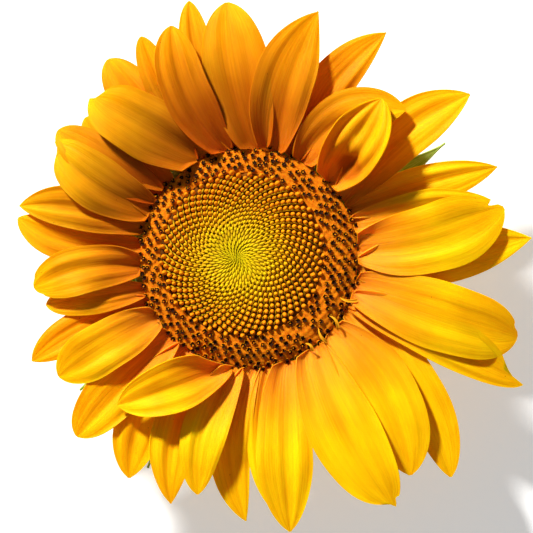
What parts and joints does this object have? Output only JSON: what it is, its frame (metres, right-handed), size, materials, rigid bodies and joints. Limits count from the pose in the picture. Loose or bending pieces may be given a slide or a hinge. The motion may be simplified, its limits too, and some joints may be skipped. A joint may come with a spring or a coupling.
{
  "type": "sunflower head",
  "caption": "Cut sunflower head with a short stem stub, golden ray petals in layers, a disc of spiral buds ringed by open brown florets, and green bracts beneath.",
  "frame": {"origin": "centre of the stem stub's flat cut, which is the face it rests on", "axes": "+Z out of the bloom's face, along the stem and away from the cut; +Y towards the top of the picture, +X to its right"},
  "size_m": [0.2059, 0.2123, 0.0578],
  "materials": {
    "bract_green": "matte",
    "petal_gold": "satin",
    "bud_orange": "matte",
    "floret_brown": "matte"
  },
  "bodies": {
    "root": {"receptacle_and_bracts": "bract_green", "ray_petals": "petal_gold", "disc_buds": "bud_orange", "open_florets": "floret_brown"}
  },
  "joints": []
}
